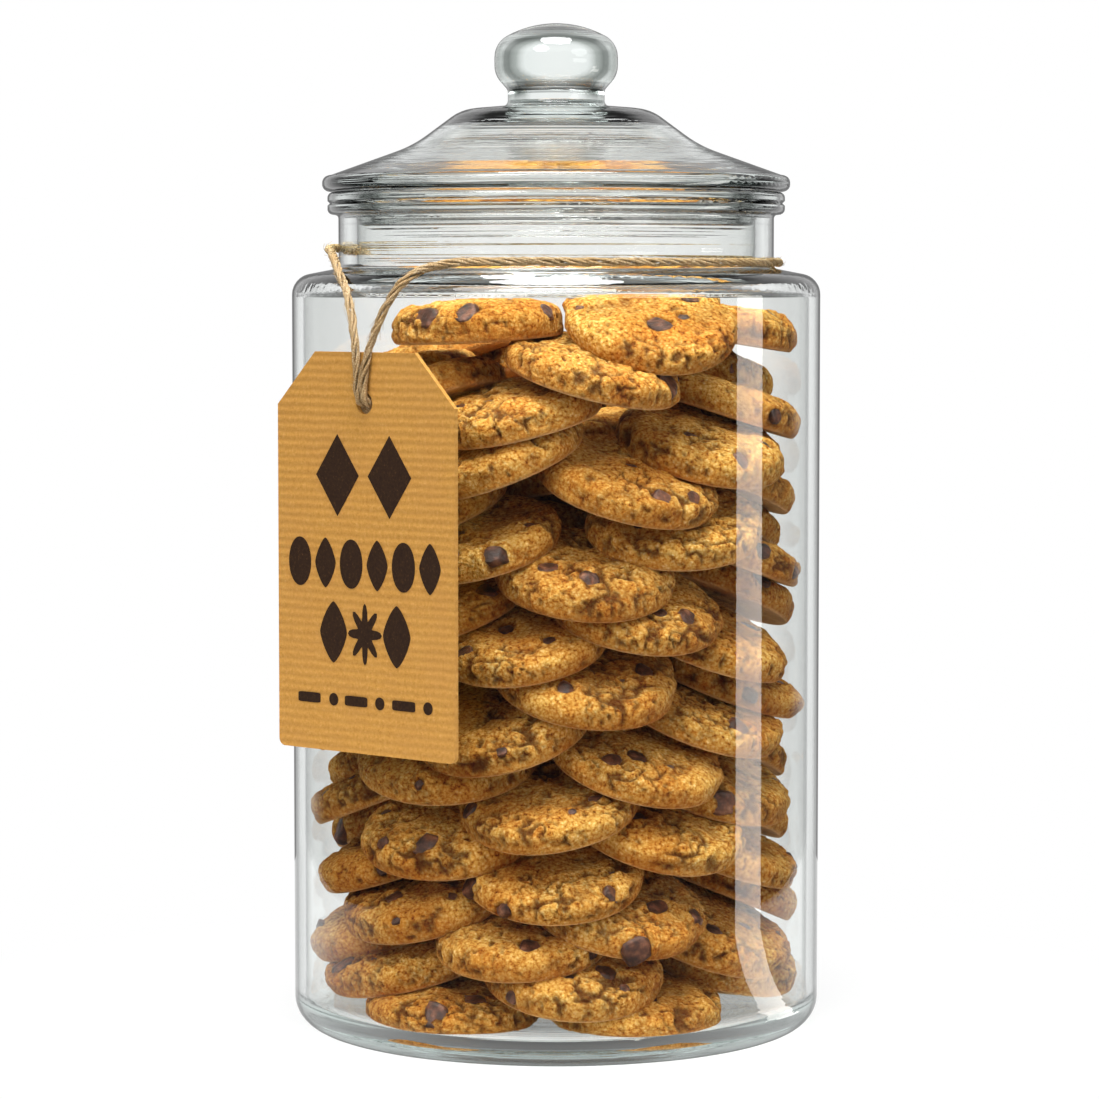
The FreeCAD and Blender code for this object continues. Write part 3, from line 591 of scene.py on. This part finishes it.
def buildCookie(cookie, fine, chance):
    # Rings round the cookie, their points closer together on its outer side. The top is swollen,
    # pushed out along its normals by lumps of four sizes, in by cracks and holes, and in and out
    # where the chips sit. Below the top it all sags a little, so that cookies close their gaps.
    sizes = cookieSizes
    counts = sizes["rings" if fine else "coarseRings"]
    around = sizes["around" if fine else "coarseAround"]
    share, rise = sideOfCookie(cookie["thickness"] * sizes["swell"], counts)
    turn = np.arange(around) / around * 2 * np.pi
    turn = turn - sizes["crowding"] * np.sin(turn)
    outline = np.interp(turn, cookie["angles"], cookie["outline"], period=2 * np.pi)
    reach = share[:, None] * outline[None, :]
    flat = np.stack([reach * np.cos(turn), reach * np.sin(turn),
                     np.broadcast_to(rise[:, None], reach.shape)], axis=-1)
    mean = outline.mean()
    slopeOut = np.gradient(rise)
    slopeUp = -np.gradient(share * mean)
    length = np.hypot(slopeOut, slopeUp)
    leanOut, leanUp = -slopeOut / length, -slopeUp / length
    normal = np.stack([leanOut[:, None] * np.cos(turn), leanOut[:, None] * np.sin(turn),
                       np.broadcast_to(leanUp[:, None], reach.shape)], axis=-1)
    points = np.concatenate([flat.reshape(-1, 3), [(0, 0, rise[0]), (0, 0, 0)]])
    normals = np.concatenate([normal.reshape(-1, 3), [(0, 0, 1), (0, 0, -1)]])
    seed = chance.uniform(0, seedRange)

    height = points[:, 2]
    across = np.hypot(points[:, 0], points[:, 1]) / mean
    upper = np.clip((height - sizes["bareBelow"]) / sizes["bareOver"], 0, 1)
    lumps = sum(noise(points, size, seed + step) * depth
                for step, (size, depth) in enumerate(sizes["lumps"]))
    broken = np.clip(noise(points, sizes["brokenPatch"], seed + 23) * 2.0
                     + 0.25 + 0.5 * across ** 4, 0, 1)
    # shade is painted shade: darker in cracks, holes, round the chips and wherever the surface dips.
    shade = np.zeros(len(points))
    for step, (size, width, depth) in enumerate(sizes["cracks"]):
        line = cracks(points * (1, 1, 0.6), size, width, seed + 31 + 9 * step)
        line = line * broken * upper
        shade = np.maximum(shade, line * (0.95 - 0.3 * step))
        lumps = lumps - line * depth
    holes = np.clip(-noise(points, sizes["hole"], seed + 61) * 3.2 - 1.5, 0, 1)
    lumps = lumps - holes * sizes["holeDepth"]
    shade = np.maximum(shade, holes * 0.6)

    chips = placeChips(cookie, outline, turn, chance) if fine else []
    pit = np.zeros(len(points))
    lip = np.zeros(len(points))
    for chip in chips:
        wander = 1 + 0.22 * noise(points, 0.004, chip["seed"])
        away = np.linalg.norm(points - chip["spot"], axis=1) / chip["radius"] / wander
        pit = np.maximum(pit, np.exp(-(away / 1.1) ** 6))
        lip = np.maximum(lip, np.exp(-((away - 1.4) / 0.28) ** 2))
    shift = (lumps * upper * (1 - 0.6 * pit)
             + (lip * sizes["lipHeight"] - pit * sizes["pitDepth"]) * upper)
    points = points + normals * shift[:, None]
    points[:, 2] = np.maximum(points[:, 2], sizes["lowest"])
    points[:, 2] -= sizes["sag"] * np.clip(1 - height / cookie["thickness"], 0, 1)

    # rim: browner low on the outer side, from baking and as painted shade. The pits and dips add painted
    # shade where the surface sinks.
    rim = np.clip(1 - (height - sizes["rimFrom"]) / sizes["rimOver"], 0, 1) * (across > 0.55)
    pale = np.exp(-(height / sizes["paleLine"]) ** 2) * (across > 0.9)
    dip = np.clip(-shift / sizes["darkDip"], 0, 1)
    shade = np.clip(shade + pit * 0.85 + 0.45 * dip, 0, 1)
    quads, caps = grid(len(share), around)
    place = points @ cookie["axes"] + cookie["middle"]
    for chip in chips:
        chip["place"] = chip["spot"] @ cookie["axes"] + cookie["middle"]
        chip["axes"] = np.stack([chip["along"], np.cross(chip["out"], chip["along"]),
                                 chip["out"]]) @ cookie["axes"]
    return place, quads, caps, np.stack([rim, shade, pale], axis=1), chips


chipSizes = {"rings": 11, "around": 16, "most": 4, "mostOnTop": 7, "topOfHeap": 0.215,
             "radii": (0.0017, 0.0022, 0.0027, 0.0031, 0.0036, 0.0042), "apart": 0.0085,
             "sink": 0.0005, "sinkShare": 0.34, "tries": 90, "reach": (0.02, 1.16),
             "rimFrom": 0.96, "rimLevels": (0.35, 0.85), "bulgeInner": 2.4, "bulgeRim": 0.33,
             "rimTilt": 0.5, "square": 0.8, "cut": 0.68, "proportions": (1.15, 0.92, 0.85)}


def placeChips(cookie, outline, turn, chance):
    # Chips on the top and the rim, apart from each other, each with the way it faces. Where the
    # cookie's inner side is covered by the heap, they lie on its outer side alone.
    chips = []
    waist, thickness = cookieSizes["waist"], cookie["thickness"]
    onTop = cookie["middle"][2] > chipSizes["topOfHeap"]
    most = chipSizes["mostOnTop"] if onTop else chipSizes["most"]
    for _ in range(chipSizes["tries"]):
        angle = chance.uniform(0, 2 * np.pi)
        share = math.sqrt(chance.uniform(*chipSizes["reach"]))
        radius = chance.choice(chipSizes["radii"])
        seed = chance.uniform(0, seedRange)
        spin = chance.normal(size=3)
        level = chance.uniform(*chipSizes["rimLevels"]) * thickness
        reach = np.interp(angle, turn, outline, period=2 * np.pi)
        way = np.array([math.cos(angle), math.sin(angle), 0])
        if share > chipSizes["rimFrom"]:
            higher = max(0, (level - waist) / (thickness - waist)) ** chipSizes["bulgeInner"]
            spot = way * reach * (1 - higher) ** chipSizes["bulgeRim"]
            out = way + (0, 0, chipSizes["rimTilt"])
        else:
            level = domeHeight(share, thickness)
            spot = way * reach * share
            out = way * share ** 3 + (0, 0, 1.0)
        spot[2] = level
        if not onTop and spot[0] < 0:
            continue
        if any(np.linalg.norm(spot - chip["spot"]) < chipSizes["apart"] for chip in chips):
            continue
        out /= np.linalg.norm(out)
        along = np.cross(out, spin)
        sink = chipSizes["sink"] + chipSizes["sinkShare"] * radius
        chips.append({"spot": spot - out * sink, "out": out,
                      "along": along / np.linalg.norm(along), "radius": radius, "seed": seed})
        if len(chips) == most:
            break
    return chips


def buildChip(chip):
    # A broken lump: a ball swollen by noise, with its sides and its top cut nearly flat.
    rings, around = chipSizes["rings"], chipSizes["around"]
    down = (np.arange(rings) + 0.5) / rings * np.pi
    turn = np.arange(around) / around * 2 * np.pi
    ball = np.stack([np.sin(down)[:, None] * np.cos(turn), np.sin(down)[:, None] * np.sin(turn),
                     np.broadcast_to(np.cos(down)[:, None], (rings, around))], axis=-1)
    ball = np.concatenate([ball.reshape(-1, 3), [(0, 0, 1), (0, 0, -1)]])
    swell = 1 + 0.30 * noise(ball, 1.0, chip["seed"]) + 0.12 * noise(ball, 0.45, chip["seed"] + 5)
    shape = np.sign(ball) * np.abs(ball) ** chipSizes["square"] * swell[:, None]
    lid = chipSizes["cut"] + 0.16 * noise(ball, 0.7, chip["seed"] + 9) + 0.22 * shape[:, 0]
    shape[:, 2] = np.minimum(shape[:, 2], lid)
    size = chip["radius"] * np.array(chipSizes["proportions"])
    quads, caps = grid(rings, around)
    return shape * size @ chip["axes"] + chip["place"], quads, caps


def makeDough():
    # Baked shortbread dough: a matt sandy crumb of 0.7 to 1.8 mm in clumps of 5 mm, golden, with
    # painted shade in the crumb's hollows and paler raised grains, partly sugar specks and partly
    # painted highlight. It is browner at the rim from baking, with painted shade low on its sides and
    # in its cracks, holes, pits and dips, and a thin pale line where the under side ends.
    material = newMaterial("cookie_dough")
    place = addNode(material, "TexCoord").outputs["Object"]
    sand = addNode(material, "TexNoise", Vector=place, Scale=1500.0, Detail=3.0, Roughness=0.7)  # 0.7 mm
    crumb = addNode(material, "TexNoise", Vector=place, Scale=560.0, Detail=5.0, Roughness=0.7)  # 1.8 mm
    grains = addNode(material, "TexVoronoi", Vector=place, Scale=760.0)  # 1.3 mm
    clump = addNode(material, "TexNoise", Vector=place, Scale=190.0, Detail=3.0, Roughness=0.6)  # 5 mm
    patch = addNode(material, "TexNoise", Vector=place, Scale=42.0, Detail=2.0)  # 24 mm
    loose = addNode(material, "MapRange", Value=grains.outputs["Distance"], From_Min=0.75,
                    From_Max=0.10).outputs["Result"]
    blend = addNode(material, "Mix", data_type="FLOAT", Factor=0.5, A=sand.outputs["Fac"],
                    B=crumb.outputs["Fac"])
    height = addNode(material, "Mix", data_type="FLOAT", Factor=0.16, A=blend.outputs["Result"],
                     B=loose)
    relief = height.outputs["Result"]
    # Painted shade and highlight: the colour darkens where the crumb's relief is low and pales where it
    # is high.
    base = ramp(material, relief, (0.33, "#662C03"), (0.40, "#B26D22"),
                (0.47, "#D09742"), (0.57, "#E3B566"), (0.68, "#F8DCA2"))
    # The crumb colour: red is the rim, browner from baking and painted shade low on the side; green is
    # painted shade in cracks, holes, pits and dips; blue is the pale line.
    marks = addNode(material, "Attribute", attribute_name="crumb")
    parts = addNode(material, "SeparateColor", Color=marks.outputs["Color"])
    # The rim browner, from baking and as painted shade low on the side.
    tone = layered(material, base, "#A86018", parts.outputs["Red"], 0.45)
    low = ramp(material, clump.outputs["Fac"], (0.30, 1.0), (0.46, 0.0))
    tone = layered(material, tone, "#A55E18", low, 0.35)
    # Painted shade in the cracks, holes, pits and dips.
    tone = layered(material, tone, "#441600", parts.outputs["Green"], 0.85)
    tone = layered(material, tone, "#EBC08A", parts.outputs["Blue"], 0.7)
    browned = ramp(material, patch.outputs["Fac"], (0.36, "#E4C79C"), (0.60, 1.0))
    spots = byNumber(material, "Mix", {0: 0.9, 6: tone, 7: browned}, data_type="RGBA",
                     blend_type="MULTIPLY")
    coarse = addNode(material, "Bump", Height=clump.outputs["Fac"], Strength=0.8, Distance=0.0022)
    rough = addNode(material, "Bump", Height=relief, Strength=0.9, Distance=0.0015,
                    Normal=coarse.outputs[0])
    body = addNode(material, "BsdfPrincipled", Base_Color=spots.outputs[2], Roughness=0.85,
                   Specular_IOR_Level=0.15, Normal=rough.outputs[0])
    return finishMaterial(material, body.outputs[0])


def makeChocolate():
    # Dark chocolate after baking: softly shiny, with paler bloom in patches and small dents.
    material = newMaterial("dark_chocolate")
    place = addNode(material, "TexCoord").outputs["Object"]
    bloom = addNode(material, "TexNoise", Vector=place, Scale=330.0, Detail=4.0)  # 3 mm
    dents = addNode(material, "TexNoise", Vector=place, Scale=700.0, Detail=3.0)  # 1.4 mm
    tone = ramp(material, bloom.outputs["Fac"], (0.34, "#260E04"), (0.48, "#43200F"),
                (0.62, "#663821"), (0.76, "#8C5C40"))
    rough = addNode(material, "Bump", Height=dents.outputs["Fac"], Strength=0.6, Distance=0.0008)
    body = addNode(material, "BsdfPrincipled", Base_Color=tone, Roughness=0.50,
                   Normal=rough.outputs[0])
    return finishMaterial(material, body.outputs[0])


dough = makeDough()
chocolate = makeChocolate()
allChips = []
chance = np.random.default_rng(11)
courses = sorted(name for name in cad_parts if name.startswith("cookies_course"))
triangleCount = 0
for name in courses:
    parts, marks = [], []
    for triangles in separateSolids(name):
        cookie = measureCookie(triangles)
        inner = math.hypot(cookie["middle"][0], cookie["middle"][1]) < cookieSizes["inner"]
        place, quads, caps, mark, chips = buildCookie(cookie, not inner, chance)
        parts.append((place, quads, caps))
        marks.append(mark)
        allChips += chips
    points, faces = joinParts(parts)
    triangleCount += sum(len(face) - 2 for face in faces)
    course = addMesh(name.replace("cookies_", "baked_"), points, faces)
    addColour(course, "crumb", np.concatenate(marks))
    dress(course, dough)
    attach(course, "root")
    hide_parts(name)
points, faces = joinParts([buildChip(chip) for chip in allChips])
chipPiece = addMesh("chocolate_chips", points, faces)
dress(chipPiece, chocolate)
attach(chipPiece, "root")
print("stage: cookies", triangleCount, "triangles", len(allChips), "chips", len(faces), "faces")


def makeCard():
    # Ribbed kraft card: brown paper pulp with fine level ribs 2.7 mm apart, painted shade in the
    # grooves between them, and loose fibres.
    material = newMaterial("kraft_card")
    place = addNode(material, "TexCoord").outputs["Object"]
    rib = addNode(material, "TexWave", bands_direction="Z", Vector=place, Distortion=1.2,
                  Scale=math.pi / 10 / cardSizes["rib"], Detail=2.0, Detail_Scale=1.5)
    fibre = addNode(material, "TexNoise", Vector=place, Scale=900.0, Detail=5.0, Roughness=0.75)  # 1.1 mm
    cloud = addNode(material, "TexNoise", Vector=place, Scale=45.0, Detail=2.0)  # 22 mm
    tone = ramp(material, fibre.outputs["Fac"], (0.30, "#AC7830"), (0.48, "#BE8A3F"),
                (0.60, "#C59248"), (0.76, "#D4A663"))
    # Painted shade in the grooves between the ribs.
    groove = ramp(material, rib.outputs["Fac"], (0.0, 1.0), (0.6, 0.0))
    tone = layered(material, tone, "#A87636", groove, 0.28)
    dull = ramp(material, cloud.outputs["Fac"], (0.35, 1.0), (0.60, 0.0))
    tone = layered(material, tone, "#B88444", dull, 0.30)
    ribs = addNode(material, "Bump", Height=rib.outputs["Fac"], Strength=0.35, Distance=0.0004)
    rough = addNode(material, "Bump", Height=fibre.outputs["Fac"], Strength=0.35, Distance=0.0003,
                    Normal=ribs.outputs[0])
    body = addNode(material, "BsdfPrincipled", Base_Color=tone, Roughness=0.88,
                   Specular_IOR_Level=0.25, Normal=rough.outputs[0])
    return finishMaterial(material, body.outputs[0])


def makeInk():
    # Dark brown ink, printed matt: the card's grain shows through where it wore thin.
    material = newMaterial("brown_ink")
    place = addNode(material, "TexCoord").outputs["Object"]
    grain = addNode(material, "TexNoise", Vector=place, Scale=1100.0, Detail=3.0, Roughness=0.7)  # 0.9 mm
    tone = ramp(material, grain.outputs["Fac"], (0.30, "#24120A"), (0.60, "#33200F"),
                (0.80, "#5A3B1E"))
    body = addNode(material, "BsdfPrincipled", Base_Color=tone, Roughness=0.75,
                   Specular_IOR_Level=0.2)
    return finishMaterial(material, body.outputs[0])


# Printed ornaments, in millimetres: kind, middle across, middle up from the tag's lower edge,
# half its width, half its height.
cardSizes = {"rib": 0.0027, "inkDepth": 0.00012, "inkLift": 0.00004, "points": 64,
             "marks": (("lozenge", -12, 88, 9.5, 13), ("lozenge", 11, 88, 9.5, 13),
                       ("disc", -29, 60, 5, 7.8), ("petal", -17.5, 60, 4.6, 8),
                       ("disc", -6, 60, 5, 7.8), ("petal", 5.5, 60, 4.6, 8),
                       ("disc", 17, 60, 5, 7.8), ("petal", 28.5, 60, 4.6, 8),
                       ("petal", -14, 38, 6, 9.8), ("star", 0, 38, 7.5, 9.8),
                       ("petal", 14, 38, 6, 9.8),
                       ("dash", -25, 16.5, 5, 1.6), ("disc", -14, 16.5, 2, 2),
                       ("dash", -4, 16.5, 5, 1.6), ("disc", 6.5, 16.5, 2, 2),
                       ("dash", 17, 16.5, 5, 1.6), ("disc", 27.5, 16.5, 2, 2)),
             "petalPower": 1.35, "dashPower": 8, "starDepth": 0.28, "starPoints": 8}


def ornament(kind, turn):
    # The distance of an ornament's edge from its middle, over the angle, at a half size of 1.
    # A lozenge, petal and dash are |cosine| ** power + |sine| ** power = 1 for a power of their own.
    cosine, sine = np.abs(np.cos(turn)), np.abs(np.sin(turn))
    powers = {"lozenge": 1, "petal": cardSizes["petalPower"], "dash": cardSizes["dashPower"]}
    if kind in powers:
        power = powers[kind]
        return 1 / (cosine ** power + sine ** power) ** (1 / power)
    if kind == "star":
        depth = cardSizes["starDepth"]
        return 1 - depth + depth * np.cos(cardSizes["starPoints"] * turn)
    return np.ones_like(turn)


def printOn(node):
    # Each ornament is a thin plate on the tag's outer face: two closed rings with a point each.
    places, triangles = readMesh(node.data)
    corners = places[triangles]
    area, facing = facets(corners)
    level = np.abs(facing[:, 2]) < 0.01
    outward = np.einsum("ij,ij->i", facing[:, :2], corners.mean(axis=1)[:, :2]) > 0
    normal = facing[np.argmax(np.where(level & outward, area, 0))]
    across = np.cross((0, 0, 1), normal)
    face = corners[facing @ normal > 0.999].reshape(-1, 3)
    middle = (face @ across).min() / 2 + (face @ across).max() / 2
    origin = across * middle + normal * (face @ normal).max() + (0, 0, face[:, 2].min())
    turn = np.arange(cardSizes["points"]) / cardSizes["points"] * 2 * np.pi
    parts = []
    for kind, right, up, halfWidth, halfHeight in cardSizes["marks"]:
        edge = ornament(kind, turn)
        flat = np.stack([right + halfWidth * edge * np.cos(turn),
                         up + halfHeight * edge * np.sin(turn)], axis=1) / 1000
        rings = [flat @ (across, (0, 0, 1)) + origin + normal * lift
                 for lift in (cardSizes["inkLift"] + cardSizes["inkDepth"], cardSizes["inkLift"])]
        poles = [ring.mean(axis=0)[None, :] for ring in rings]
        parts.append((np.concatenate(rings + poles), *grid(2, cardSizes["points"])))
    points, faces = joinParts(parts)
    return addMesh("tag_print", points, faces, smooth=False)


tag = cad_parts["tag_card"]
dress(tag, makeCard())
ink = printOn(tag)
dress(ink, makeInk())
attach(ink, "root")
print("stage: tag")
